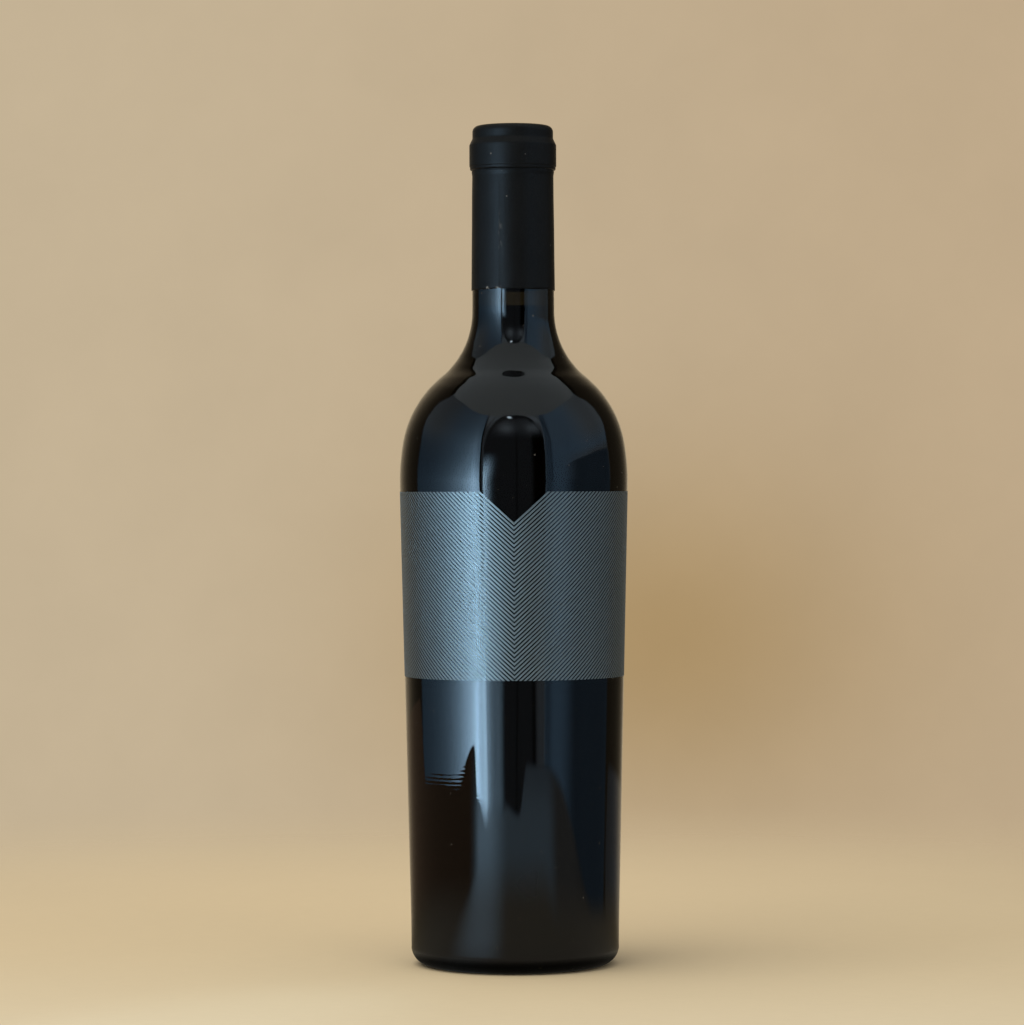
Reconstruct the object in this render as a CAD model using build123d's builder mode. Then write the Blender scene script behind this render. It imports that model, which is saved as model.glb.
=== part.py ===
from build123d import *
import os
from math import acos, asin, atan2, cos, degrees, hypot, radians, sin, tan

# A 750 ml wine bottle whose body widens from the foot to the shoulder. It is four pieces: the dark
# glass with its deep punt, the wine up to its level in the neck, a closed sleeve over the mouth and
# neck, and a thin label with a V notch in the middle of its top edge.
# Millimetres, +Z up. The origin is the middle of the standing ring, on the surface that the bottle
# stands on, and the front of the label faces -Y.

# ---- driving dimensions: the whole bottle ----
overall_height = 310.0  # from the table to the top of the sleeve
body_diameter = 84.4  # at the shoulder's foot, where the bottle is widest
foot_diameter = 77.2  # of the short upright stretch above the heel
taper_start = 17.5  # height where the upright stretch meets the taper
taper_blend = 9.0  # length of the soft bend to each side of that height
shoulder_drop = 132.9  # from the top of the sleeve down to the shoulder's foot

# ---- shoulder and neck ----
shoulder_low_radius = 81.6  # the lower, flatter arc of the shoulder
shoulder_low_turn = 11.25  # degrees that the lower arc turns through
shoulder_high_radius = 40.0  # the upper, rounder arc
neck_blend_radius = 31.4  # the hollow arc that runs up into the neck
neck_diameter = 30.44  # where that arc ends
neck_lean = 0.52  # degrees by which the neck narrows upwards

# ---- finish: the ring and the lip at the mouth ----
ring_diameter = 31.6
ring_height = 9.1  # the upright face of the ring
ring_slope_height = 2.2  # the slope from the ring in to the lip
lip_diameter = 29.3
lip_height = 4.75  # from the slope up to the rim
ring_edge_radius = 0.6
slope_edge_radius = 0.8
lip_edge_radius = 2.0

# ---- inside of the glass ----
bore_diameter = 19.0
body_wall = 4.8
base_wall = 6.5  # over the punt
floor_thickness = 8.6  # under the trough round the punt

# ---- heel and punt ----
heel_radius = 6.7
standing_ring_width = 11.6  # from the outside of the foot in to the punt
rim_radius = 3.0  # the rounded edge between the standing ring and the punt
punt_depth = 45.0
punt_dome_radius = 15.0

# ---- wine ----
fill_depth = 66.8  # from the top of the sleeve down to the wine

# ---- sleeve ----
sleeve_thickness = 0.28
sleeve_length = 61.0

# ---- label ----
label_thickness = 0.15
label_height = 68.1
label_below_shoulder = 2.3  # from the shoulder's foot down to the label's top edge
label_back_gap = 3.0  # between the label's two ends, at the back
notch_width = 24.2
notch_depth = 11.1

# ---- worked out from the above ----
body_r = body_diameter / 2
foot_r = foot_diameter / 2
neck_r = neck_diameter / 2
bore_r = bore_diameter / 2
ring_r = ring_diameter / 2
lip_r = lip_diameter / 2
punt_r = foot_r - standing_ring_width
shoulder_z = overall_height - shoulder_drop
glass_top = overall_height - sleeve_thickness
slope_top_z = glass_top - lip_height
ring_top_z = slope_top_z - ring_slope_height
ring_bottom_z = ring_top_z - ring_height
fill_z = overall_height - fill_depth
sleeve_bottom_z = overall_height - sleeve_length
taper = degrees(atan2(body_r - foot_r, shoulder_z - taper_start))
taper_blend_radius = taper_blend / tan(radians(abs(taper) / 2))

# The punt is a round dome on a cone. Its flank is the tangent from the punt's edge to the dome, and
# punt_lean is the flank's angle from upright.
dome_centre_z = punt_depth - punt_dome_radius
punt_lean = degrees(
    atan2(punt_r, dome_centre_z) - asin(punt_dome_radius / hypot(punt_r, dome_centre_z))
)


def shoulder_and_neck(wall, end_radius, end_lean):
    """Draw three arcs from the shoulder's foot to the neck, a wall's thickness inside the outer side.

    Each arc is tangent to the one before. The line is steepest where the upper arc meets the hollow
    one, and that slope is the one at which the three arcs together come in by the right amount.
    """
    low = shoulder_low_radius - wall
    high = shoulder_high_radius - wall
    blend = neck_blend_radius + wall
    start_radius = body_r - wall
    start = radians(taper)
    middle = radians(shoulder_low_turn - taper)
    end = radians(end_lean)
    come_in = start_radius - end_radius
    low_come_in = low * (cos(start) - cos(middle))
    steepest = acos((high * cos(middle) + blend * cos(end) + low_come_in - come_in) / (high + blend))
    low_arc = JernArc(
        start=(start_radius, shoulder_z),
        tangent=(sin(start), cos(start)),
        radius=low,
        arc_size=shoulder_low_turn,
    )
    high_arc = JernArc(
        start=low_arc @ 1,
        tangent=low_arc % 1,
        radius=high,
        arc_size=degrees(steepest - middle),
    )
    return JernArc(
        start=high_arc @ 1,
        tangent=high_arc % 1,
        radius=blend,
        arc_size=-degrees(steepest - end),
    )


def punt_dome(wall):
    """Draw the dome of the punt from the axis to where its flank begins, a wall's thickness above it."""
    return JernArc(
        start=(0, punt_depth + wall),
        tangent=(1, 0),
        radius=punt_dome_radius + wall,
        arc_size=punt_lean - 90,
    )


def label_radius(z):
    """Radius of the tapered side of the glass at a height between the foot and the shoulder."""
    return body_r - (shoulder_z - z) * tan(radians(taper))


# ---- the section of the bottle as if it were solid glass ----
with BuildSketch(Plane.XZ) as solid_section:
    with BuildLine():
        dome = punt_dome(0)
        FilletPolyline(dome @ 1, (punt_r, 0), (foot_r - heel_radius, 0), radius=[rim_radius])
        heel = JernArc(
            start=(foot_r - heel_radius, 0), tangent=(1, 0), radius=heel_radius, arc_size=90
        )
        FilletPolyline(
            heel @ 1,
            (foot_r, taper_start),
            (body_r, shoulder_z),
            radius=[taper_blend_radius],
        )
        neck_foot = shoulder_and_neck(0, neck_r, neck_lean) @ 1
        neck_top_r = neck_r - (ring_bottom_z - neck_foot.Y) * tan(radians(neck_lean))
        FilletPolyline(
            neck_foot,
            (neck_top_r, ring_bottom_z),
            (ring_r, ring_bottom_z),
            (ring_r, ring_top_z),
            (lip_r, slope_top_z),
            (lip_r, glass_top),
            (0, glass_top),
            radius=[
                ring_edge_radius,
                ring_edge_radius,
                slope_edge_radius,
                slope_edge_radius,
                lip_edge_radius,
            ],
        )
        Line((0, glass_top), (0, punt_depth))
    make_face()

# ---- the section of the hollow inside, from the hump over the punt up through the mouth ----
inner_foot_r = foot_r - body_wall
flank = radians(punt_lean)
with BuildSketch(Plane.XZ) as hollow_section:
    with BuildLine():
        hump = punt_dome(base_wall)
        hump_end = hump @ 1
        # The trough is an arc that touches the wall, the flank and the floor's height.
        trough_radius = (
            (inner_foot_r - hump_end.X) * cos(flank) + (floor_thickness - hump_end.Y) * sin(flank)
        ) / (1 + cos(flank) - sin(flank))
        flank_foot_z = hump_end.Y - (inner_foot_r - hump_end.X) / tan(flank)
        FilletPolyline(
            hump_end,
            (inner_foot_r, flank_foot_z),
            (inner_foot_r, taper_start),
            (body_r - body_wall, shoulder_z),
            radius=[trough_radius, taper_blend_radius],
        )
        bore_foot = shoulder_and_neck(body_wall, bore_r, 0) @ 1
        Polyline(bore_foot, (bore_r, glass_top), (0, glass_top), (0, punt_depth + base_wall))
    make_face()

# ---- glass ----
with BuildPart() as bottle:
    with BuildSketch(Plane.XZ):
        add(solid_section.sketch_local)
        add(hollow_section.sketch_local, mode=Mode.SUBTRACT)
    revolve(axis=Axis.Z)
bottle.part.label = "bottle_glass"

# ---- wine: the hollow up to the fill level ----
with BuildPart() as wine:
    with BuildSketch(Plane.XZ):
        add(hollow_section.sketch_local)
        Rectangle(body_diameter, fill_z, align=(Align.MIN, Align.MIN), mode=Mode.INTERSECT)
    revolve(axis=Axis.Z)
wine.part.label = "wine"

# ---- sleeve: a thin skin that follows the neck, the ring and the lip, and closes the mouth ----
with BuildPart() as sleeve:
    with BuildSketch(Plane.XZ):
        add(solid_section.sketch_local)
        with Locations((0, sleeve_bottom_z)):
            Rectangle(
                body_diameter, sleeve_length, align=(Align.MIN, Align.MIN), mode=Mode.INTERSECT
            )
        offset(amount=sleeve_thickness)
        add(solid_section.sketch_local, mode=Mode.SUBTRACT)
        with Locations((0, sleeve_bottom_z)):
            Rectangle(
                body_diameter, sleeve_length, align=(Align.MIN, Align.MIN), mode=Mode.INTERSECT
            )
    revolve(axis=Axis.Z)
sleeve.part.label = "capsule"

# ---- label: a thin band round the taper, open at the back, with the notch cut at the front ----
label_top_z = shoulder_z - label_below_shoulder
label_bottom_z = label_top_z - label_height
half_gap = degrees(label_back_gap / 2 / body_r)
first_end = radians(90 + half_gap)
end_plane = Plane(
    origin=(0, 0, 0),
    x_dir=(cos(first_end), sin(first_end), 0),
    z_dir=(sin(first_end), -cos(first_end), 0),
)
with BuildPart() as label:
    with BuildSketch(end_plane):
        with BuildLine():
            Polyline(
                (label_radius(label_bottom_z), label_bottom_z),
                (label_radius(label_bottom_z) + label_thickness, label_bottom_z),
                (label_radius(label_top_z) + label_thickness, label_top_z),
                (label_radius(label_top_z), label_top_z),
                close=True,
            )
        make_face()
    revolve(axis=Axis.Z, revolution_arc=360 - 2 * half_gap)
    with BuildSketch(Plane.XZ):
        with BuildLine():
            Polyline(
                (-notch_width / 2, label_top_z),
                (0, label_top_z - notch_depth),
                (notch_width / 2, label_top_z),
                close=True,
            )
        make_face()
    extrude(amount=body_diameter, mode=Mode.SUBTRACT)
label.part.label = "label"

os.makedirs("parts", exist_ok=True)
export_step(bottle.part, "parts/bottle_glass.step")
export_step(wine.part, "parts/wine.step")
export_step(sleeve.part, "parts/capsule.step")
export_step(label.part, "parts/label.step")
print("wine, ml:", round(wine.part.volume / 1000, 1))
print("glass, ml:", round(bottle.part.volume / 1000, 1))
print("sleeve, ml:", round(sleeve.part.volume / 1000, 2))
print("trough radius:", round(trough_radius, 2), " punt lean:", round(punt_lean, 2))
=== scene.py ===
# %% [markdown]
# A closed wine bottle, dressed piece by piece. The frame holds four plain CAD pieces at their true size:
# the glass, the wine, the sleeve over the mouth and the label. Each cell below says what one of them is
# on a real bottle, then makes a finer mesh for it and a finish that is worked out by nodes.
#
# The frame is loaded first, because every later size and place comes from its boxes. Blender works in
# metres here and the bottle's sizes are easier to read in millimetres, so MM turns one into the other.

# %% Load the frame
import math

import bpy
import numpy as np
from mathutils import Matrix, Vector


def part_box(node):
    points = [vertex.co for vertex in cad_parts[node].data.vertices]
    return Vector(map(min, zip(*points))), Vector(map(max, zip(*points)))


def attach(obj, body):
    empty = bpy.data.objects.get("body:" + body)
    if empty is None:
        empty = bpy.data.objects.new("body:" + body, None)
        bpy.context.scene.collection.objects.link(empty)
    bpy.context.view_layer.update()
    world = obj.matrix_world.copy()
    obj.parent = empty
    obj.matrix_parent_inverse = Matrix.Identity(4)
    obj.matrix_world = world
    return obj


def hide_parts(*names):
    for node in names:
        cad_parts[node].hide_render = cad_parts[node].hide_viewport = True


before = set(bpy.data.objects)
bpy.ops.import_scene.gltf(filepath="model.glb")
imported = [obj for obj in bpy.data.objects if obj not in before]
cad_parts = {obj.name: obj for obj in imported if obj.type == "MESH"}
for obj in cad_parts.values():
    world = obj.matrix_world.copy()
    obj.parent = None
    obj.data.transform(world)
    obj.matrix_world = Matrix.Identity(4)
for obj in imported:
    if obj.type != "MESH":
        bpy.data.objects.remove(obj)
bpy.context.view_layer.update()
MM = 0.001

glass_low, glass_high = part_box("bottle_glass")
wine_low, wine_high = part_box("wine")
sleeve_low, sleeve_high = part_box("capsule")
label_low, label_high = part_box("label")

# %% [markdown]
# The camera stands about 1.4 m in front of the bottle with a long lens, a little over half way up, and
# looks very slightly down. It leans by a fifth of a degree, as a camera on a tripod often does. A camera
# is turned by one matrix: first tilted up from looking straight down, then rolled about its own view.

# %% Camera
camera_place = (-0.0007, -1.4107, 0.1776)
camera_lens = 133.8
look_down = math.radians(0.43)
camera_roll = math.radians(-0.18)

lens = bpy.data.cameras.new("lens")
lens.lens = camera_lens
lens.clip_start = 0.05
camera = bpy.data.objects.new("camera", lens)
bpy.context.scene.collection.objects.link(camera)
tilt = Matrix.Rotation(math.pi / 2 - look_down, 4, "X")
roll = Matrix.Rotation(camera_roll, 4, "Z")
camera.matrix_world = Matrix.Translation(camera_place) @ tilt @ roll
bpy.context.scene.camera = camera
bpy.context.scene.view_settings.view_transform = "Standard"
print("lens", camera_lens, "mm, camera", camera_place)

# %% [markdown]
# A bottle is blown in a mould that was turned on a lathe, so half of its outline says everything about its
# shape. The outline is a row of (radius, height) points. It could be a Bezier curve drawn by eye, but
# straight runs and tangent arcs with real radii are what the mould maker uses, and they are easy to
# change. Two helpers make them: bend() is one arc, and rounded() is a chain of straight runs whose corners
# are rounded.

# %% Straight runs and arcs
def run(start, end, spacing):
    """Points on a straight run: start plus an even share of the way to end, about spacing apart."""
    length = math.dist(start, end)
    return np.linspace(start, end, max(2, math.ceil(length / spacing) + 1))


def bend(start, heading, radius, turn, spacing):
    """Points on an arc that leaves start along heading and turns by turn degrees, left when positive.

    The centre lies one radius to the side that it turns to, and each point is the centre plus the radius
    at an angle that grows evenly.
    """
    side = math.copysign(1.0, turn)
    angle = math.radians(heading)
    centre = np.array(start) + side * radius * np.array([-math.sin(angle), math.cos(angle)])
    arc_length = radius * abs(math.radians(turn))
    count = max(math.ceil(arc_length / spacing), math.ceil(abs(turn) / 9), 2) + 1
    sweep = angle + np.linspace(0, math.radians(turn), count)
    return centre + side * radius * np.column_stack([np.sin(sweep), -np.cos(sweep)])


def rounded(corners, radii, spacing):
    """Straight runs through corners, each inner corner replaced by an arc that touches both its runs.

    The arc starts radius * tan(half the turn) before the corner.
    """
    corners = [np.array(c, float) for c in corners]
    parts = []
    last = corners[0]
    for before, corner, after, radius in zip(corners, corners[1:], corners[2:], radii):
        come, go = corner - before, after - corner
        heading = math.degrees(math.atan2(come[1], come[0]))
        turn = (math.degrees(math.atan2(go[1], go[0])) - heading + 180) % 360 - 180
        cut = radius * math.tan(math.radians(abs(turn)) / 2)
        arc_start = corner - come / np.linalg.norm(come) * cut
        parts.append(run(last, arc_start, spacing))
        parts.append(bend(arc_start, heading, radius, turn, spacing))
        last = parts[-1][-1]
    parts.append(run(last, corners[-1], spacing))
    return joined(*parts)


def joined(*parts):
    """The parts end to end, without the points that repeat where two parts meet."""
    points = np.vstack(parts)
    step = np.linalg.norm(np.diff(points, axis=0), axis=1)
    return points[np.r_[True, step > 1e-4]]


def offset(outline, amount):
    """The outline moved sideways by amount, to the right of the way it runs: each point moves square to
    the chord between its two neighbours."""
    along = np.gradient(outline, axis=0)
    along /= np.linalg.norm(along, axis=1, keepdims=True)
    return outline + amount * np.column_stack([along[:, 1], -along[:, 0]])


# %% [markdown]
# The outline becomes a surface when it is swept round the axis. Blender's Screw modifier does that too,
# but a grid that is worked out as one array leaves room for what a lathe can't do: the slight waves of
# hot glass, a seam, a nick. A point on the axis is one single vertex, so the ends are closed by a fan of
# triangles and not by a pinched ring. An outline that keeps its solid on the left gives normals that
# point out.

# %% Turned surfaces
def mesh_object(name, vertices, faces):
    """A new object at the origin, with its place in its mesh: vertices in mm become metres."""
    mesh = bpy.data.meshes.new(name)
    mesh.from_pydata((np.asarray(vertices) * MM).tolist(), [], [f for part in faces for f in part.tolist()])
    mesh.polygons.foreach_set("use_smooth", np.ones(len(mesh.polygons), bool))
    mesh.update()
    piece = bpy.data.objects.new(name, mesh)
    bpy.context.scene.collection.objects.link(piece)
    triangles = sum(len(p.vertices) - 2 for p in mesh.polygons)
    print(name, len(mesh.vertices), "vertices,", triangles, "triangles")
    return piece


def turned(name, outline, around, shape=None):
    """An outline that starts and ends on the axis, swept round it.

    x = -radius * sin(angle) and y = -radius * cos(angle), so angle 0 is the front and angles grow to the
    left as seen from there. shape(radius, height, angle) may move the grid before it is placed.
    """
    inner = outline[1:-1]
    angle = np.linspace(0, 2 * math.pi, around, endpoint=False)
    radius, turn = np.meshgrid(inner[:, 0], angle, indexing="ij")
    height = np.broadcast_to(inner[:, 1:], radius.shape)
    if shape:
        radius, height = shape(radius, height, turn)
    grid = np.stack([-radius * np.sin(turn), -radius * np.cos(turn), height], axis=-1).reshape(-1, 3)
    poles = np.array([[0, 0, outline[0, 1]], [0, 0, outline[-1, 1]]])
    rows = len(inner)
    ring = np.arange(around)
    beside = (ring + 1) % around
    row = np.arange(rows - 1)[:, None] * around
    walls = np.stack([row + beside, row + ring, row + around + ring, row + around + beside], axis=-1)
    first, last = rows * around, rows * around + 1
    top = (rows - 1) * around
    start_fan = np.column_stack([np.full(around, first), ring, beside])
    end_fan = np.column_stack([np.full(around, last), top + beside, top + ring])
    return mesh_object(name, np.vstack([grid, poles]), [walls.reshape(-1, 4), start_fan, end_fan])


# %% [markdown]
# Sizes. What the frame can say is read from its boxes: heights, the widest diameter, the label's edges
# and the wine's level. What a box can't say, such as a radius or a wall, is named here in millimetres, as
# a drawing of the bottle would give it.

# %% Sizes
body_r = (glass_high.x - glass_low.x) / 2 / MM
glass_top = glass_high.z / MM
overall_height = sleeve_high.z / MM
sleeve_bottom = sleeve_low.z / MM
label_top = label_high.z / MM
label_bottom = label_low.z / MM
fill_level = wine_high.z / MM

# outside, from the foot up
foot_r, foot_lean = 38.6, 0.16
heel_radius = 6.7
taper_start, taper_blend = 17.5, 9.0
shoulder_z = 177.1
shoulder_low_radius, shoulder_low_turn = 81.6, 11.25
shoulder_high_radius = 40.0
neck_blend_radius = 31.4
neck_r, neck_lean = 15.22, 0.52
ring_r, ring_bottom, ring_top = 15.8, 293.67, 302.77
lip_r, slope_top = 14.65, 304.97
mouth_radii = (0.6, 0.6, 0.8, 0.8, 2.0)

# inside and underneath
bore_r = 9.5
body_wall, base_wall, floor_thickness = 4.8, 6.5, 8.6
punt_r, rim_radius = 27.0, 3.0
punt_depth, punt_dome_radius = 45.0, 15.0

taper = math.degrees(math.atan2(body_r - foot_r, shoulder_z - taper_start))
taper_blend_radius = taper_blend / math.tan(math.radians(taper) / 2)
dome_centre = punt_depth - punt_dome_radius
dome_share = punt_dome_radius / math.hypot(punt_r, dome_centre)
punt_lean = math.degrees(math.atan2(punt_r, dome_centre) - math.asin(dome_share))
print("the body's side leans out by", round(taper, 2), "degrees")

# %% [markdown]
# The glass is thick and nearly black, with a deep hollow under it, the punt. Its outer and inner outlines
# are joined at the mouth into one closed wall, because light has to bend into real glass and out of it
# again: a single skin would look like a painted balloon. The shoulder is two arcs and the neck's foot is a
# third, and they share one formula for the outer and the inner side.

# %% Outline of the glass
def shoulder(wall, end_radius, end_lean, spacing):
    """Three tangent arcs from the shoulder's foot up to the neck, a wall's thickness inside.

    The slope where the last two meet is the one at which all three come in by the right amount.
    """
    low, high, hollow = shoulder_low_radius - wall, shoulder_high_radius - wall, neck_blend_radius + wall
    start, end = math.radians(taper), math.radians(end_lean)
    middle = math.radians(shoulder_low_turn) - start
    come_in = body_r - wall - end_radius
    low_come_in = low * (math.cos(start) - math.cos(middle))
    cosine = high * math.cos(middle) + hollow * math.cos(end) + low_come_in - come_in
    steepest = math.degrees(math.acos(cosine / (high + hollow)))
    first = bend((body_r - wall, shoulder_z), 90 - taper, low, shoulder_low_turn, spacing)
    heading = 90 - taper + shoulder_low_turn
    rise = steepest - math.degrees(middle)
    second = bend(first[-1], heading, high, rise, spacing)
    third = bend(second[-1], heading + rise, hollow, end_lean - steepest, spacing)
    return joined(first, second, third)


def outside_of_glass(spacing):
    """From the top of the punt, under the foot, up the side and the neck, to the rim of the mouth."""
    dome = bend((0, punt_depth), 0, punt_dome_radius, punt_lean - 90, spacing)
    heel_r = foot_r - foot_lean
    rim = rounded([dome[-1], (punt_r, 0), (heel_r - heel_radius, 0)], [rim_radius], spacing)
    heel = bend((heel_r - heel_radius, 0), 0, heel_radius, 90, spacing / 3)
    corners = [heel[-1], (foot_r, taper_start), (body_r, shoulder_z)]
    side = rounded(corners, [taper_blend_radius], spacing * 2)
    curve = shoulder(0, neck_r, neck_lean, spacing / 3)
    neck_top_r = neck_r - (ring_bottom - curve[-1, 1]) * math.tan(math.radians(neck_lean))
    finish = [curve[-1], (neck_top_r, ring_bottom), (ring_r, ring_bottom), (ring_r, ring_top)]
    finish += [(lip_r, slope_top), (lip_r, glass_top), (bore_r, glass_top)]
    mouth = rounded(finish, mouth_radii, spacing)
    return joined(dome, rim, heel, side, curve, mouth)


def inside_of_glass(spacing):
    """From the hump over the punt, through the trough round it, up the wall and the bore to the mouth."""
    hump = bend((0, punt_depth + base_wall), 0, punt_dome_radius + base_wall, punt_lean - 90, spacing)
    lean = math.radians(punt_lean)
    across = foot_r - body_wall - hump[-1, 0]
    down = floor_thickness - hump[-1, 1]
    trough_r = (across * math.cos(lean) + down * math.sin(lean)) / (1 + math.cos(lean) - math.sin(lean))
    flank_foot = (foot_r - body_wall, hump[-1, 1] - across / math.tan(lean))
    corners = [hump[-1], flank_foot, (foot_r - body_wall, taper_start), (body_r - body_wall, shoulder_z)]
    wall = rounded(corners, [trough_r, taper_blend_radius], spacing)
    curve = shoulder(body_wall, bore_r, 0, spacing)
    return joined(hump, wall, curve, run(curve[-1], (bore_r, glass_top), spacing))


outer_outline = outside_of_glass(2.0)
inner_outline = inside_of_glass(3.0)
glass_outline = joined(outer_outline, inner_outline[::-1])
print("the glass has an outline of", len(glass_outline), "points")

# %% [markdown]
# No blown bottle is quite true. Long slow waves run round the body, level rings stand at the neck's foot,
# where the mould's two parts of the shoulder meet, and a low ridge at the heel is where the mould's side
# meets its bottom plate. They are a few hundredths of a millimetre, too little to see as shape, but the
# mirror in the glass shows them. They could be bump in the material; as shape they stay in the mesh.

# %% Glass
# each wave's size, how often it runs round, the height over which it climbs once, and its start
slow_waves = ((0.018, 7, 420, 0.4), (0.009, 15, -170, 2.1), (0.004, 29, 95, 4.0))
ring_middle, ring_size, ring_wave, ring_fade = 218.3, 0.042, 4.4, 6
parting_z, parting_size, parting_width = 6.0, 0.05, 0.35
glass_around = 224


def waves(height, angle):
    """How far the glass lies from a true turned shape, in mm: the sum of long waves that run round the
    body a whole number of times while they climb slowly. Each is taken down by its own size, so that none
    stands proud."""
    total = np.zeros(np.broadcast(height, angle).shape)
    for size, number, climb, start in slow_waves:
        total += size * (np.sin(number * angle + 2 * math.pi * height / climb + start) - 1)
    return total


def rings(height):
    """Level rings at the foot of the neck: a sine that grows and fades like a bell curve. It falls through
    the middle, so the side is steepest there."""
    from_middle = height - ring_middle
    fade = np.exp(-((from_middle / ring_fade) ** 2))
    return -ring_size * fade * np.sin(2 * math.pi * from_middle / ring_wave)


def side_radius(height):
    """Radius of the tapering side at a height."""
    return body_r - (shoulder_z - height) * math.tan(math.radians(taper))


def blown(radius, height, angle):
    """The outer side moves with the waves, which fade out over 8 mm of radius towards the neck and over
    12 mm of height at the foot. The ridge is a bell curve round parting_z, and the rings lie only above
    the shoulder's foot."""
    outer = np.clip((radius - foot_r + 12) / 8, 0, 1)
    outer *= np.clip((height - 3) / 12, 0, 1)
    ridge = parting_size * np.exp(-(((height - parting_z) / parting_width) ** 2)) * (radius > foot_r - 2)
    wall_only = radius > side_radius(np.minimum(height, shoulder_z)) - 2
    outer *= wall_only | (height > shoulder_z)
    side = outer_outline[outer_outline[:, 1] > shoulder_z - 20]
    on_side = radius > np.interp(height, side[:, 1], side[:, 0]) - 1
    on_side &= height > shoulder_z
    return radius + outer * waves(height, angle) + ridge + on_side * rings(height), height


bottle_shell = turned("bottle_shell", glass_outline, glass_around, blown)

# %% [markdown]
# Wine fills the glass up to the neck, just below the sleeve. What fills glass is made a hair too large on
# purpose: its side lies 0.15 mm inside the wall, so that no film of air shows between them. The top is not
# quite flat, because the wine climbs the glass at its edge up to its level; the climb dies away like a
# falling exponential.

# %% Wine
reach = 0.15
meniscus_height = 1.2
meniscus_width = 1.5
wine_around = 160

wetted = offset(inner_outline, reach)
wetted[0, 0] = 0
wetted = wetted[wetted[:, 1] < fill_level]
across = np.linspace(bore_r + reach, 0, 24)
climb = meniscus_height * np.exp((across - bore_r - reach) / meniscus_width)
climb -= climb[-1]
surface = np.column_stack([across, fill_level - meniscus_height + climb])
wine_body = turned("wine_body", joined(wetted, surface), wine_around)
print("wine level", round(fill_level, 1), "mm")

# %% [markdown]
# The sleeve is a thin matt skin, shrunk by heat over the mouth, the ring and the neck. It follows the
# glass closely but rounds every corner, and just under the ring it bridges the step with a small soft
# bead. Its side has one upright overlap seam, and its cut lower edge is slightly uneven. It is closed as a
# skin with an inner and an outer side, so the edge has its real thickness.

# %% Sleeve
skin = 0.28
slack = 0.04
top_slack = 0.03
straight_neck_z = 241.3
bead_start, bead_top, bead_end, ring_start = 291.4, 292.7, 294.0, 294.9
bead_size, bead_end_size = 0.17, 0.05
top_dent = ((11.2, 0), (10.7, 0.18), (0, 0.12))
inner_radii = (2.0, 0.8, 0.8, 0.6, 0.6)
outer_radii = (0.9, 0.8, 0.35, 0.7, 0.9, 0.9, 2.3, 0.25, 0.25)
seam_angle = math.radians(18)
seam_step, seam_rise, seam_fade = 0.07, 0.5, 2.1
nick_angles = (math.radians(38), math.radians(21), math.radians(-150))
nick_height, nick_width = 0.5, 0.45
sleeve_around = 320


def neck_radius(height):
    """Radius of the neck's straight run, which narrows upwards by neck_lean."""
    return neck_r - (height - straight_neck_z) * math.tan(math.radians(neck_lean))


def sleeve_outline():
    """Inner side from the axis outwards and down, then the cut edge, then the outer side up to the top."""
    lower_r, upper_r = neck_radius(sleeve_bottom) + slack, neck_radius(ring_bottom) + slack
    inner = [(0, glass_top + top_slack), (lip_r + slack, glass_top + top_slack), (lip_r + slack, slope_top)]
    inner += [(ring_r + slack, ring_top), (ring_r + slack, ring_bottom), (upper_r, ring_bottom - 0.4)]
    inner += [(lower_r, sleeve_bottom)]
    inside = rounded(inner, inner_radii, 1.5)
    edge = run(inner[-1], (lower_r + skin - slack, sleeve_bottom), 0.1)
    outer = [(lower_r + skin - slack, sleeve_bottom), (upper_r + skin - slack, bead_start)]
    outer += [(upper_r + skin + bead_size, bead_top), (upper_r + skin + bead_end_size, bead_end)]
    outer += [(ring_r + skin, ring_start), (ring_r + skin, ring_top + 0.05)]
    outer += [(lip_r + skin, slope_top + 0.25), (lip_r + skin, overall_height)]
    outer += [(r, overall_height - depth) for r, depth in top_dent]
    outside = rounded(outer, outer_radii, 0.8)
    return joined(inside, edge, outside)


def shrunk(radius, height, angle):
    """The skin's outer side is uneven by a few hundredths of a millimetre: slow ripples, and a step at the
    overlap seam that rises over half a millimetre and fades away over a third of a turn. Close to the cut
    edge the height changes too, by a slow wave and a few small nicks."""
    wide = np.clip((radius - neck_r + 0.6) / 0.4, 0, 1)
    below_ring = np.clip((292 - height) / 6, 0, 1)
    past = (angle - seam_angle) % (2 * math.pi)
    step = seam_step * np.clip(past * neck_r / seam_rise, 0, 1) * np.clip(1 - past / seam_fade, 0, 1)
    ripple = 0.022 * np.sin(3 * angle + height / 9.0) * np.sin(height / 5.2 + 1.3)
    ripple += 0.014 * np.sin(7 * angle - height / 6.1)
    ripple += 0.010 * np.sin(13 * angle + height / 3.3 + 0.8)
    outer = radius > neck_radius(height) + skin * 0.55
    radius = radius + outer * wide * below_ring * (step + ripple)
    near_edge = np.clip(1 - (height - sleeve_bottom) / 4, 0, 1)
    lift = 0.10 * (1 + np.sin(5 * angle + 0.7)) + 0.05 * (1 + np.sin(17 * angle))
    for nick in nick_angles:
        from_nick = ((angle - nick + math.pi) % (2 * math.pi) - math.pi) * neck_r
        lift = lift + nick_height * np.exp(-((from_nick / nick_width) ** 2))
    return radius, height + near_edge * lift


neck_sleeve = turned("neck_sleeve", sleeve_outline(), sleeve_around, shrunk)

# %% [markdown]
# The label is printed: fine chevrons of silver blue ink that all point down, round the whole bottle but
# for a gap at the back, with the glass showing between them. A stripe pattern in the material would be
# one way, but the ink really stands a little proud of the glass and has edges that catch the light, so
# every stripe is a thin raised bar here. All bars come from one formula. Unrolled, a stripe's line is
#     height = height at the middle + slope * distance from the middle,
# and a bar is the strip between two such lines, cut off level with the label's edges. The bars end 1.5 mm
# short of halfway round at the label's foot. The bottle is wider where they are wrapped round it, half way
# up the label, so the gap at the back is nearly 8 mm.

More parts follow.
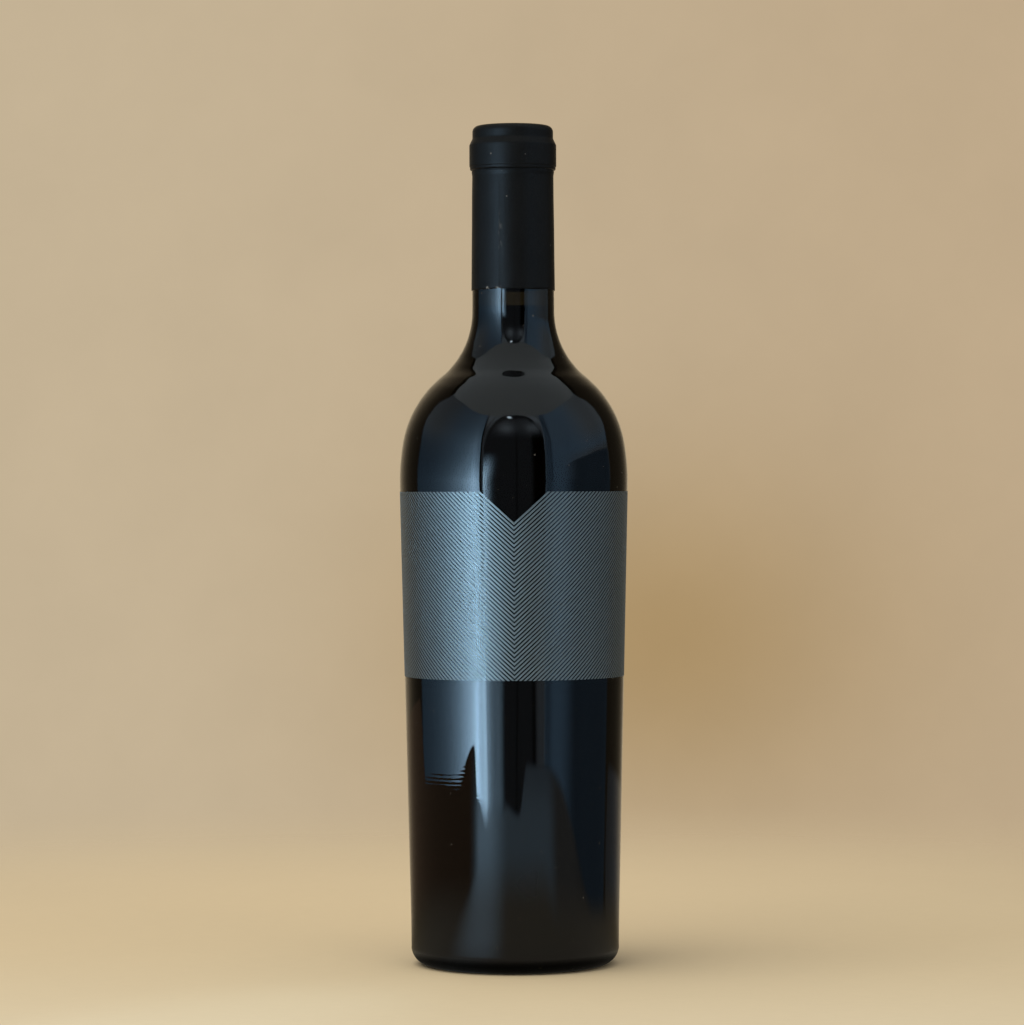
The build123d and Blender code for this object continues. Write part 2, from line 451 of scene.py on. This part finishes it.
# %% Label stripes
notch_width = 24.2
notch_depth = 11.1
slope = notch_depth / (notch_width / 2)
stripe_pitch = 1.58
stripe_share = 0.62
ink = 0.06
sunk = 0.03
short_of_back = 1.5
piece_length = 2.0
shortest_bar = 0.4
label_end = math.pi * side_radius(label_bottom) - short_of_back


def stripe_ends(middle_height):
    """Where one edge of each stripe starts and ends, as distances from the front line.

    It starts at the middle, or where it leaves the label's lower edge, and ends where it meets the upper
    edge or the gap at the back.
    """
    start = np.clip((label_bottom - middle_height) / slope, 0, label_end)
    end = np.clip((label_top - middle_height) / slope, 0, label_end)
    return start, np.maximum(start, end)


def striped_label():
    """Every bar is a grid of cross sections, each with four corners: under and on the ink, on the upper
    and the lower line. Both halves are the same bars with the distance's sign changed."""
    tip = label_top - notch_depth
    count = math.floor((tip - label_bottom + label_end * slope) / stripe_pitch)
    upper_line = tip - np.arange(count) * stripe_pitch
    lower_line = upper_line - stripe_pitch * stripe_share
    upper_start, upper_end = stripe_ends(upper_line)
    lower_start, lower_end = stripe_ends(lower_line)
    keep = (lower_end - lower_start > shortest_bar) & (upper_end - upper_start > shortest_bar)
    vertices, faces, base = [], [], 0
    lines = (upper_line, lower_line, upper_start, upper_end, lower_start, lower_end)
    for upper, lower, u0, u1, l0, l1 in np.column_stack(lines)[keep]:
        pieces = max(2, math.ceil((l1 - l0) / piece_length))
        share = np.linspace(0, 1, pieces + 1)
        for side in (1, -1):
            upper_s, lower_s = u0 + (u1 - u0) * share, l0 + (l1 - l0) * share
            corner_s = np.stack([upper_s, upper_s, lower_s, lower_s], axis=1)
            corner_h = np.stack([upper + slope * upper_s] * 2 + [lower + slope * lower_s] * 2, axis=1)
            proud = np.array([-sunk, ink, ink, -sunk])
            angle = side * corner_s / side_radius((label_top + label_bottom) / 2)
            radius = side_radius(corner_h) + waves(corner_h, angle) + proud
            bar = np.stack([-radius * np.sin(angle), -radius * np.cos(angle), corner_h], axis=-1)
            first = base + np.arange(pieces)[:, None] * 4
            ring = np.arange(4)
            next_ring = (ring + 1) % 4
            quads = np.stack([first + ring, first + next_ring, first + 4 + next_ring, first + 4 + ring], -1)
            caps = np.array([[base + 3, base + 2, base + 1, base], base + pieces * 4 + ring])
            quads = np.vstack([quads.reshape(-1, 4), caps])
            faces.append(quads[:, ::-1] if side > 0 else quads)
            vertices.append(bar.reshape(-1, 3))
            base += len(vertices[-1])
    print(int(keep.sum()), "chevrons")
    return mesh_object("label_stripes", np.vstack(vertices), faces)


label_stripes = striped_label()
label_stripes.data.polygons.foreach_set("use_smooth", np.zeros(len(label_stripes.data.polygons), bool))

# %% [markdown]
# Finishes are node trees. Written node by node they are long and hard to read, so two small classes
# carry them: Shader.node() adds any node, and Value wraps one of its outputs, so that sums are written as
# sums. A Math node takes numbers only; colours and vectors go through Vector Math and Mix.

# %% Shader helpers
class Value:
    """One output of a node, on which + - * / work and add the nodes that work it out."""

    def __init__(self, shader, socket):
        self.shader = shader
        self.socket = socket

    def out(self, name):
        """Another output of the same node."""
        return Value(self.shader, self.socket.node.outputs[name])

    def pair(self, operation, left, right):
        vectors = [v for v in (left, right) if is_vector(v)]
        if not vectors:
            return self.shader.node("ShaderNodeMath", {"operation": operation}, {0: left, 1: right})
        if operation == "MULTIPLY" and len(vectors) == 1:
            sockets = {0: vectors[0], "Scale": right if is_vector(left) else left}
            return self.shader.node("ShaderNodeVectorMath", {"operation": "SCALE"}, sockets)
        return self.shader.node("ShaderNodeVectorMath", {"operation": operation}, {0: left, 1: right})

    def __add__(self, other):
        return self.pair("ADD", self, other)

    __radd__ = __add__

    def __mul__(self, other):
        return self.pair("MULTIPLY", self, other)

    __rmul__ = __mul__

    def __sub__(self, other):
        return self.pair("SUBTRACT", self, other)

    def __rsub__(self, other):
        return self.pair("SUBTRACT", other, self)

    def __truediv__(self, other):
        return self.pair("DIVIDE", self, other)

    def __rtruediv__(self, other):
        return self.pair("DIVIDE", other, self)

    def __neg__(self):
        return self.pair("MULTIPLY", self, -1.0)


def is_vector(value):
    if isinstance(value, Value):
        return value.socket.type in ("VECTOR", "RGBA")
    return isinstance(value, (tuple, list, Vector))


class Shader:
    """A node tree, emptied, with node() to fill it."""

    def __init__(self, tree):
        self.tree = tree
        tree.nodes.clear()

    def node(self, kind, settings=None, sockets=None, out=0):
        """Adds a node: its type, its settings, then values or links for its sockets. Gives one output."""
        node = self.tree.nodes.new(kind)
        for name, value in (settings or {}).items():
            setattr(node, name, value)
        for name, value in (sockets or {}).items():
            socket = node.inputs[name]
            if isinstance(value, Value):
                self.tree.links.new(value.socket, socket)
            elif socket.type == "RGBA" and len(value) == 3:
                socket.default_value = (*value, 1.0)
            else:
                socket.default_value = value
        return Value(self, node.outputs[out]) if node.outputs else node

    def one(self, operation, value, second=0.0):
        """A Math node for what has no operator, such as MINIMUM or SINE."""
        return self.node("ShaderNodeMath", {"operation": operation}, {0: value, 1: second})

    def smooth(self, value, low, high):
        """0 below low, 1 above high, and an S-shaped rise between them."""
        sockets = {"Value": value, "From Min": low, "From Max": high}
        return self.node("ShaderNodeMapRange", {"interpolation_type": "SMOOTHSTEP"}, sockets)

    def band(self, value, low, full_from, full_to, high):
        """1 between the two inner limits, 0 beyond the outer ones, and an S-shaped step on either side."""
        return self.smooth(value, low, full_from) * (1 - self.smooth(value, full_to, high))

    def bell(self, x, y=None):
        """A bell curve: 1 where x and y are 0, falling as e to the minus the sum of their squares."""
        return self.one("EXPONENT", -(x * x) if y is None else -(x * x + y * y))

    def mix(self, factor, a, b):
        """Colour a where factor is 0, b where it is 1."""
        return self.node("ShaderNodeMix", {"data_type": "RGBA"}, {0: factor, 6: a, 7: b}, out=2)

    def noise(self, place, scale, detail=2.0, roughness=0.5):
        """Cloudy noise from 0 to 1; scale is its number of features in a metre."""
        sockets = {"Vector": place, "Scale": scale, "Detail": detail, "Roughness": roughness}
        return self.node("ShaderNodeTexNoise", {"noise_dimensions": "3D"}, sockets, out="Fac")

    def stretched(self, place, amounts):
        """Coordinates scaled by three amounts, so that a pattern is squeezed where an amount is large."""
        return self.node("ShaderNodeVectorMath", {"operation": "MULTIPLY"}, {0: place, 1: amounts})

    def parts(self, place):
        """The three numbers of a vector."""
        x = self.node("ShaderNodeSeparateXYZ", None, {0: place}, out="X")
        return x, x.out("Y"), x.out("Z")

    def length(self, place):
        """How long a vector is."""
        return self.node("ShaderNodeVectorMath", {"operation": "LENGTH"}, {0: place}, out="Value")

    def bump(self, height, distance):
        """A normal that leans as if the surface rose by height times distance, in metres."""
        return self.node("ShaderNodeBump", None, {"Strength": 1.0, "Distance": distance, "Height": height})

    def principled(self, sockets):
        """The all-round surface; what isn't given keeps its default."""
        return self.node("ShaderNodeBsdfPrincipled", None, sockets)


degree = math.degrees(1)


def angle_round(shader, x, y):
    """The angle round the bottle of the direction (x, y), in degrees."""
    return shader.one("ARCTAN2", -x, -y) * degree


def material(name, fill):
    """A new material whose tree is filled by fill(shader, place), where place is the object's own
    coordinates in metres. fill returns the surface, and may return a volume after it."""
    made = bpy.data.materials.new(name)
    made.use_nodes = True
    shader = Shader(made.node_tree)
    place = shader.node("ShaderNodeTexCoord", out="Object")
    surface, volume = fill(shader, place)
    sockets = {"Surface": surface}
    if volume:
        sockets["Volume"] = volume
    shader.node("ShaderNodeOutputMaterial", None, sockets)
    print("material", name, "has", len(made.node_tree.nodes), "nodes")
    return made


# %% [markdown]
# Dark bottle glass is smooth and absorbs so strongly that two walls let through a fortieth of the light,
# a little less of the blue. Painting it black would be simpler, but then the thin neck above the wine
# would not glow brown against a light wall. So the surface is clear glass and the colour is in the
# volume. A fine, nearly level ripple stands for the skin that the mould leaves, with a band of fine level
# lines on the left, a quarter of the way up. A few soft smudges are slightly rough, and there is a little
# pale dust.

# %% Glass finish
def specks(shader, place, scale, rarity):
    """Specks of dust: small discs at the cell centres of a Voronoi pattern, most of them left out."""
    sockets = {"Vector": place, "Scale": scale}
    centre = shader.node("ShaderNodeTexVoronoi", {"feature": "F1"}, sockets, out="Distance")
    chosen = shader.smooth(shader.noise(place, scale * 0.8, 0.0), rarity, rarity + 0.06)
    return (1 - shader.smooth(centre, 0.04, 0.09)) * chosen


line_spacing = 0.0015
glass_absorption = 430.0


def dark_glass(shader, place):
    ripple = shader.noise(shader.stretched(place, (1, 1, 3.2)), 200, 1.0)
    peel = shader.noise(place, 700, 1.0)
    x, y, up = shader.parts(place)
    left = angle_round(shader, x, y)
    low_lines = shader.band(up, 0.060, 0.065, 0.073, 0.078) * shader.band(left, 16, 23, 120, 160)
    heel_lines = 1 - shader.smooth(up, 0.014, 0.024)
    level_lines = shader.one("SINE", up * (2 * math.pi / line_spacing) + shader.noise(place, 75, 1.0) * 9)
    height = ripple * 0.14 + peel * 0.04 + level_lines * (low_lines * 3.0 + heel_lines * 0.8)
    smudge = shader.smooth(shader.noise(place, 38, 3.0, 0.6), 0.60, 0.78)
    streaks = shader.noise(shader.stretched(place, (1, 1, 0.25)), 420, 2.0)
    uneven = {"Roughness": 0.006 + smudge * streaks * 0.02, "Normal": shader.bump(height, 0.0000003)}
    clear = {"Base Color": (1.0, 1.0, 1.0), "IOR": 1.52, "Transmission Weight": 1.0}
    glass = shader.principled({**clear, **uneven})
    pale = shader.principled({"Base Color": (0.42, 0.40, 0.36), "Roughness": 0.9})
    dust = specks(shader, place, scale=330.0, rarity=0.55) * 0.45
    surface = shader.node("ShaderNodeMixShader", None, {0: dust, 1: glass, 2: pale})
    tint = {"Color": (0.20, 0.20, 0.1325), "Density": glass_absorption}
    return surface, shader.node("ShaderNodeVolumeAbsorption", None, tint)


bottle_shell.data.materials.append(material("dark bottle glass", dark_glass))

# %% [markdown]
# Red wine this deep is black by reflected light, with a trace of red. It is an opaque body here: a second
# clear volume inside dark glass would cost much and show nothing. Its surface is smooth, and slow clouds
# of a slightly lighter red keep it from being one dead colour.

# %% Wine finish
def red_wine(shader, place):
    cloud = shader.smooth(shader.noise(place, 45, 2.0), 0.35, 0.7)
    depth = shader.mix(cloud, (0.010, 0.0010, 0.0016), (0.018, 0.0016, 0.0026))
    still = {"Roughness": 0.08, "IOR": 1.34, "Specular IOR Level": 0.5}
    return shader.principled({"Base Color": depth, **still}), None


wine_body.data.materials.append(material("deep red wine", red_wine))

# %% [markdown]
# The sleeve's plastic skin is matt black with a very fine grain, so its highlight is broad and soft. Heat
# leaves it slightly uneven in gloss, and dust shows on it as a few small pale specks. The black is worn
# away in short scuffs beside the seam and at the nicks in the lower edge.

# %% Sleeve finish
def matt_sleeve(shader, place):
    grain = shader.noise(place, 1700, 2.0, 0.7)
    patches = shader.noise(place, 90, 3.0)
    dust = specks(shader, place, scale=240.0, rarity=0.62)

    # worn marks: short upright scuffs beside the seam, and bare spots at the nicks in the lower edge
    x, y, up = shader.parts(place)
    left = angle_round(shader, x, y)
    seam_side = (left - math.degrees(seam_angle)) / 2.2
    scuffs = shader.smooth(shader.noise(shader.stretched(place, (1, 1, 0.3)), 700, 2.0), 0.56, 0.68)
    scuffs = scuffs * shader.bell(seam_side) * (1 - shader.smooth(up, 0.272, 0.280))
    bare = 0.0
    for nick in nick_angles:
        bare = bare + shader.bell((left - math.degrees(nick)) / 3.0)
    torn = shader.smooth(shader.noise(place, 1500, 2.0), 0.45, 0.60)
    edge_height = sleeve_bottom * MM
    bare = bare * torn * (1 - shader.smooth(up, edge_height + 0.0006, edge_height + 0.0014))

    black = shader.mix(patches, (0.0048, 0.0045, 0.0040), (0.0075, 0.0071, 0.0064))
    black = black * (0.2 + 1.7 * grain)
    worn = shader.one("MINIMUM", dust * 0.5 + scuffs * 0.12 + bare * 0.9, 1.0)
    colour = shader.mix(worn, black, (0.36, 0.36, 0.34))
    bump = shader.bump(grain * 3.5 + patches * 1.4 + dust * 2.0, 0.000012)
    uneven = {"Base Color": colour, "Roughness": 0.36 + patches * 0.12 + dust * 0.3, "Normal": bump}
    return shader.principled({**uneven, "IOR": 1.235}), None


neck_sleeve.data.materials.append(material("matt black sleeve", matt_sleeve))

# %% [markdown]
# The label's ink is a satin metallic print. Most of its look is a soft reflection of the room, tinted
# blue grey. Printing leaves it a little uneven: fine grain in the flakes, slow changes in how much ink lies
# there, and here and there a darker fleck.

# %% Ink finish
def silver_ink(shader, place):
    flakes = shader.noise(place, 5200, 1.0)
    slow = shader.noise(shader.stretched(place, (1, 1, 0.5)), 55, 3.0)
    even = shader.mix(slow, (0.210, 0.240, 0.240), (0.243, 0.275, 0.276))
    colour = shader.mix(shader.smooth(flakes, 0.55, 0.8) * 0.35, even, (0.160, 0.178, 0.174))
    uneven = {"Base Color": colour, "Roughness": 0.42 + slow * 0.08, "Normal": shader.bump(flakes, 0.0000008)}
    return shader.principled({**uneven, "Metallic": 0.76}), None


label_stripes.data.materials.append(material("silver blue ink", silver_ink))

# %% [markdown]
# Now each piece is tied to the frame. attach() fixes it to the bottle's one body, and hide_parts() hides
# the plain CAD node that it stands for.

# %% Tie the pieces to the frame
for piece, node, finish in (
    (bottle_shell, "bottle_glass", "dark_glass"),
    (wine_body, "wine", "red_wine"),
    (neck_sleeve, "capsule", "matt_black_sleeve"),
    (label_stripes, "label", "silver_blue_foil"),
):
    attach(piece, "root")
    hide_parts(node)
print("4 pieces ride on the bottle")

# %% [markdown]
# The bottle stands on a sheet of pale brown paper. Its colour carries painted light: it is lighter towards
# the front and darker behind the bottle. Only a disc of it is made: further out it fades into the
# backdrop's colour, so there is no horizon. It doesn't show in reflections, because the room below says
# what the glass reflects.

# %% Floor
floor_radius = 0.9
floor_corners = 96
fade_start, fade_end = 0.20, 0.75
corner_angle = np.linspace(0, 2 * math.pi, floor_corners, endpoint=False)
rim = np.column_stack([np.cos(corner_angle), np.sin(corner_angle), np.zeros(floor_corners)])
floor = mesh_object("floor", rim * floor_radius / MM, [np.arange(floor_corners)[None, :]])


def paper(shader, place):
    fibres = shader.noise(shader.stretched(place, (1, 3, 1)), 120, 4.0, 0.6)
    stains = shader.noise(place, 9, 3.0)
    along = shader.parts(place)[1]
    # painted light: the paper is lighter in front and darker behind the bottle
    colour = shader.mix(shader.smooth(along, -0.40, 0.10), (0.745, 0.635, 0.430), (0.670, 0.520, 0.305))
    colour = colour * (0.95 + 0.07 * fibres + 0.05 * stains)
    matt = shader.principled({"Base Color": colour, "Roughness": 0.9})
    clear = shader.node("ShaderNodeBsdfTransparent")
    faded = shader.smooth(shader.length(place), fade_start, fade_end)
    return shader.node("ShaderNodeMixShader", None, {0: faded, 1: matt, 2: clear}), None


floor.data.materials.append(material("pale brown paper", paper))
floor.visible_glossy = False

# %% [markdown]
# A black glossy bottle is a mirror: what it shows is the room. So the room is described with care, as
# light that comes from each direction. The camera sees a plain paper backdrop. A reflection sees a white
# room at dusk: a wall on the left with a window's glow running along it, a dark doorway in its frame behind
# the camera, a dimmer wall on the right with something dark standing in front of it, and a grey ceiling.
# Directions are given in degrees, as an angle round the bottle, 0 towards the camera and growing to the
# left, and an angle up. Every border is a smooth step in one of the two.

# %% Directions in the room
cool = (0.64, 1.0, 1.34)
grey = (0.84, 1.0, 1.14)
tan = (0.55, 0.44, 0.29)

world = bpy.data.worlds.new("room")
bpy.context.scene.world = world
world.use_nodes = True
world.cycles.sampling_method = "NONE"
room = Shader(world.node_tree)
one, smooth, band, bell = room.one, room.smooth, room.band, room.bell

direction = room.node("ShaderNodeTexCoord", out="Generated")
to_x, to_y, to_z = room.parts(direction)
to_left = angle_round(room, to_x, to_y)
to_right = -to_left
aside = one("ABSOLUTE", to_left)
up_angle = one("ARCSINE", to_z) * degree
above = one("MAXIMUM", up_angle, 0.0)
low_down = smooth(-up_angle, 3.0, 5.5)


def fading(distance, length):
    """One at distance 0, and e times less for each length further on."""
    return one("EXPONENT", distance * (-1 / length))


# %% [markdown]
# The walls are soft gradients. The left one glows brightly close to the doorway, more so lower down, and
# dimly all along. The right one is dimmer, and greyer and dimmer still where the neck mirrors it. Of the
# dark thing in front of it only the lower part is made here.

# %% Walls
glow_angle = 40.0
glow_width, glow_height = 12.5, 9
glow_power, low_power = 6.8, 4.5
long_width, long_height = 42, 34
right_power = 0.52
dark_thing_dims = 0.80

near_glow = fading(one("ABSOLUTE", to_left - glow_angle), glow_width) * fading(above, glow_height)
near_glow = near_glow * (glow_power + low_power * smooth(-up_angle, 2.5, 6.5))
long_glow = fading(one("MAXIMUM", to_left - glow_angle, 0.0), long_width) * fading(above, long_height)
long_glow = long_glow + 0.2 * smooth(above, 5, 25)
wall_end = 112 + 7 * smooth(above, 10, 25) - 6 * smooth(above, 34, 45)
left_wall = smooth(to_left, 33.6, 34.4)

dark_thing = smooth(to_right, 47, 68) * (1 - smooth(up_angle, 0, 0.4))
right_wall = 0.6 * smooth(to_right, 31.0, 33.0) + 0.4 * smooth(to_right, 37, 42)
right_wall = right_wall * (1 - 0.35 * smooth(to_right, 75, 110))
at_neck = smooth(to_right, 45, 95) * band(above, 0, 0.5, 9, 14)
right_light = right_wall * right_power * (1 - dark_thing_dims * dark_thing) * (1 - 0.35 * at_neck)

# %% [markdown]
# The doorway is dark and has a rounded top: a superellipse, which is a box with round corners written as
#     (across / half width) ^ power + (up / height) ^ power = 1.
# A bright blade stands at its left edge, leans towards the middle further up, and runs into the wall's glow
# low down. Its gloom is lighter high up, with two pale patches under the top. The frame round it is a pale
# strip with a thin dark line, and the spark is a small lamp at its top.

# %% Doorway
door_half, door_height = 31.6, 49.2
frame_half, frame_height = 36.5, 54
corner_power = 3.2
blade_width = 5.5
spark_power = 13


def opening(across, half, height):
    """The left side of the superellipse's formula: less than 1 inside the opening, 1 on its edge."""
    sideways = one("POWER", one("ABSOLUTE", across) / half, corner_power)
    return sideways + one("POWER", above / height, corner_power)


door_share = opening(to_left + 0.7, door_half, door_height)
in_door = 1 - smooth(door_share, 0.93, 1.05)
blade_angle = 31.5 - 0.42 * above
blade = bell((to_left - blade_angle) / blade_width) * (1 - smooth(to_left, 30.6, 31.4))
blade = blade * (1 - smooth(above, 0, 15)) * (6.0 - 2.6 * low_down)
blade = blade + smooth(to_left, 9, 17) * low_down * 1.25
bridge = band(to_left, 29.5, 31.5, 33.6, 34.4) * low_down * 9.0

gloom = 0.085 * band(to_left, -22, -17, 31, 33)
gloom = gloom * (1 - 0.5 * bell((to_left + 2.5) / 1.1))
gloom = gloom + 0.33 * band(to_right, 20, 26, 32, 35) * low_down
to_rim = door_share - 0.13 * smooth(to_right, 8, 22)
gloom = gloom + 0.12 * smooth(above, 22, 38) * (1 - smooth(to_rim, 0.60, 0.82))
for patch_angle in (9, -23):
    gloom = gloom + 0.48 * bell((to_left - patch_angle) / 8.5, (up_angle - 34) / 5.5)

frame_light = (0.30 + 0.40 * smooth(above, 30, 45)) * (1 - in_door)
frame_light = frame_light * (1 - smooth(aside, 32.2, 33.2))
from_line = (opening(to_left + 2.9, frame_half, frame_height) - 1) / 0.07
frame_line = bell(from_line) * smooth(up_angle, -2, 1)
spark = spark_power * bell((to_left - 6) / 2.4, (up_angle - 46.2) / 0.9)

# %% [markdown]
# The ceiling starts where the walls end: highest at both sides, because the walls are nearest there. The
# paper that hangs behind the bottle reaches higher still. Then all the lights are added up, each in its
# colour: the walls turn from blue to grey further up.

# %% Ceiling and sum of the lights
ceiling_edge = 46.3 + 3.3 * bell((aside - 80) / 24) + 0.32 * one("MAXIMUM", aside - 112, 0.0)
ceiling = smooth(up_angle - ceiling_edge, 0, 1) * (1 - in_door)
behind = smooth(aside, 114, 178)
behind = one("POWER", behind, 1.5 + 2.0 * smooth(to_right, -20, 20))
behind_light = tan * (0.11 + 0.89 * behind) * (1 - 0.65 * smooth(up_angle - ceiling_edge, -5, -3))

high_share = smooth(above, 4, 28) * (0.2 + 0.8 * smooth(aside, 60, 100)) + 0.9 * at_neck
tone = room.mix(high_share, (0.57, 1.0, 1.50), (0.86, 1.0, 1.10))
wall_light = cool * (near_glow * left_wall + blade * in_door + bridge)
wall_light = wall_light + tone * (long_glow * left_wall + right_light)
wall_light = wall_light + grey * (gloom * in_door + frame_light + 0.03 * dark_thing)
wall_light = wall_light * (1 - 0.45 * frame_line)
light = room.mix(smooth(aside - wall_end, 0, 4), wall_light, behind_light)
light = room.mix(ceiling, light, (0.49, 0.545, 0.56)) + grey * spark

# %% [markdown]
# The Light Path node tells which kind of ray asks. The camera, and what it sees straight through the
# glass, get the paper backdrop with painted shade: it darkens slowly from left to right and has a soft
# painted shadow of the bottle to its right, and a little mottling. Reflections get the room. Matt
# surfaces get plain soft light, so that a colour renders about as it is written.

# %% What each ray sees
plain_light = (0.60, 0.60, 0.60)
backdrop_left, backdrop_right = (0.552, 0.445, 0.300), (0.515, 0.395, 0.255)
shade_tint = (0.78, 0.69, 0.52)

# painted shade: the backdrop is darker to the right
backdrop = room.mix(smooth(to_x, -0.13, 0.13), backdrop_left, backdrop_right)
# painted shadow of the bottle on the backdrop, to its right
shade = bell((to_x - 0.036) / 0.064, (to_z + 0.041) / 0.048)
backdrop = room.mix(shade, backdrop, backdrop * shade_tint)
backdrop = backdrop * (0.945 + 0.11 * room.noise(direction, 28, 4.0, 0.6))
rays = room.node("ShaderNodeLightPath", out="Is Camera Ray")
straight = one("MAXIMUM", rays, rays.out("Is Transmission Ray"))
seen = room.mix(rays.out("Is Glossy Ray"), plain_light, light)
seen = room.mix(straight, seen, backdrop)
background = room.node("ShaderNodeBackground", None, {"Color": seen, "Strength": 1.0})
room.node("ShaderNodeOutputWorld", None, {"Surface": background})
print("the room has", len(world.node_tree.nodes), "nodes")

# %% [markdown]
# The lower half of the bottle mirrors the table, and that can't be part of the room's far light: a table
# is close, so its edge has to lie lower in the glass the lower one looks. It is a glowing plane of its own
# that only reflections see, a painted reflection of the table: dark brown wood, with a painted sheen of the
# window on it towards the blade of light, a dull pool of painted light in front, pale paper behind the
# bottle, and a painted shadow close round the bottle's foot.

# %% Table in the reflections
table_half = 1.2
table_corners = np.array([(-1, -1, 0), (1, -1, 0), (1, 1, 0), (-1, 1, 0)]) * table_half / MM
# a glowing plane that carries the painted reflection of the table
table = mesh_object("table", table_corners, [np.array([[0, 1, 2, 3]])])


def glow(shader, colour, share):
    """A surface that gives off its colour where share is 1 and is clear where it is 0."""
    glowing = shader.node("ShaderNodeEmission", None, {"Color": colour, "Strength": 1.0})
    clear = shader.node("ShaderNodeBsdfTransparent")
    return shader.node("ShaderNodeMixShader", None, {0: share, 1: clear, 2: glowing})


def only_reflected(thing, made):
    """Gives a thing its material and hides it from every kind of ray but reflections."""
    thing.data.materials.append(made)
    made.cycles.emission_sampling = "NONE"
    for ray in ("camera", "diffuse", "transmission", "volume_scatter", "shadow"):
        setattr(thing, "visible_" + ray, False)


def table_light(shader, place):
    x, y = shader.parts(place)[:2]
    left = angle_round(shader, x, y)
    out = shader.length(place)
    smooth = shader.smooth

    # painted glow: warm near the bottle; further out brown on the left, grey blue in front, navy on the right
    painted_pool = shader.mix(smooth(out, 0.45, 0.68), (0.36, 0.50, 0.62), (0.25, 0.33, 0.41))
    painted_pool = shader.mix(smooth(-left, 33, 46), painted_pool, (0.20, 0.205, 0.20))
    painted_pool = shader.mix(smooth(-left, 58, 82), painted_pool, (0.10, 0.105, 0.11))
    far = shader.mix(smooth(left, 38, 48), painted_pool, (0.16, 0.108, 0.070))
    round_share = smooth(shader.one("ABSOLUTE", left), 70, 130)
    near = shader.mix(round_share, (0.29, 0.262, 0.205), (0.15, 0.12, 0.075))
    front = shader.band(left, -44, -28, 36, 50)
    glowing_wood = shader.mix(smooth(out - 0.07 * front, 0.11, 0.31), near, far)
    haze = 7 + 25 * (1 - smooth(out, 0.10, 0.32))
    # painted sheen of the window's light on the table
    painted_sheen = smooth(left, 6, 30) * (1 - smooth((left - 36) / haze, 0, 1))
    painted_sheen = painted_sheen * (0.1 + 0.5 * smooth(out, 0.06, 0.13) + 0.55 * smooth(out, 0.15, 0.45))
    lit = glowing_wood + cool * painted_sheen
    paper_behind = smooth(shader.one("ABSOLUTE", left), 126, 178)
    lit = shader.mix(paper_behind, lit, (0.50, 0.40, 0.26))
    # painted shadow: the glow darkens close round the bottle's foot
    lit = lit * (0.12 + 0.88 * smooth(out, 0.0375, 0.052))

    # the edge's distance, from right to left: near, then far in front of the doorway, near in the middle,
    # further under the blade of light, far at the glow, and about even along the left
    edge = 0.24 + 0.46 * smooth(left, -86, -40)
    edge = edge - 0.20 * smooth(left, -13, -5) + 0.06 * smooth(left, -5, 14)
    edge = edge + 0.24 * smooth(left, 39, 42.5) - 0.16 * smooth(left, 43, 62)
    edge = edge + 0.06 * smooth(left, 62, 100)
    edge = edge + 0.6 * smooth(shader.one("ABSOLUTE", left), 108, 118)
    soft = 0.014 + 0.09 * (smooth(left, 6, 16) - smooth(left, 32, 38))
    soft = soft + 0.035 * (1 - smooth(left, 30, 44)) + 0.05 * smooth(-left, 35, 45)
    return glow(shader, lit, 1 - smooth((out - edge) / soft, -1, 0)), None


only_reflected(table, material("painted table reflection", table_light))

# %% [markdown]
# The upper part of the dark thing on the right is close too: the shoulder mirrors it and the neck doesn't.
# So it is a curved sheet not far from the bottle that glows a dim blue, a painted reflection that again
# only reflections see. Its top is an arch:
#     height = height of the shoulder + distance * tan(angle up to the top),
# where the angle is greatest straight to the right and falls with the square of the angle from there.

# %% Dark thing in the reflections
sheet_distance = 0.39
sheet_low, sheet_high = 0.178, 0.275
sheet_start, sheet_end = 44, 114
sheet_columns = 54
sheet_glow_colour = (0.085, 0.134, 0.190)
arch_base, arch_angle = 0.188, 11.0
arch_middle, arch_spread = 93, 19.5

sheet_angle = np.radians(np.linspace(sheet_start, sheet_end, sheet_columns))
sheet_foot = np.column_stack([np.sin(sheet_angle), -np.cos(sheet_angle)]) * sheet_distance
sheet_rows = [np.column_stack([sheet_foot, np.full(sheet_columns, z)]) for z in (sheet_low, sheet_high)]
column = np.arange(sheet_columns - 1)
over = column + sheet_columns
sheet_faces = np.column_stack([column, column + 1, over + 1, over])
painted_dark_reflection = mesh_object("painted_dark_reflection", np.vstack(sheet_rows) / MM, [sheet_faces])


def dark_light(shader, place):
    x, y, up = shader.parts(place)
    right = -angle_round(shader, x, y)
    from_top = (right - arch_middle) / arch_spread
    top_angle = (arch_angle - from_top * from_top) / degree
    top = arch_base + (sheet_distance - 0.04) * shader.one("TANGENT", top_angle)
    under_top = 1 - shader.smooth(up - top, -0.004, 0.004)
    dim = 1 - 0.35 * shader.smooth(right, 75, 110)
    # painted reflection: the sheet glows dim blue, dimmer further round to the right
    return glow(shader, sheet_glow_colour * dim, shader.band(right, 47, 68, 106.5, 110) * under_top), None


only_reflected(painted_dark_reflection, material("painted dark reflection", dark_light))

# %% [markdown]
# One broad lamp hangs above, a little to the left and towards the camera. It is large and soft, so the
# bottle's shadow is only a darkening where it stands. It is hidden from reflections, where the room does
# the work.

# %% Lamp
lamp_place = Vector((-0.55, -0.35, 1.55))
lamp_size = 1.6
lamp_power = 16.0

soft_light = bpy.data.lights.new("soft_light", "AREA")
soft_light.size = lamp_size
soft_light.energy = lamp_power
lamp = bpy.data.objects.new("lamp", soft_light)
lamp.location = lamp_place
lamp.rotation_euler = (-lamp_place).to_track_quat("-Z", "Y").to_euler()
lamp.visible_glossy = False
bpy.context.scene.collection.objects.link(lamp)
print("lamp", lamp_power, "W")
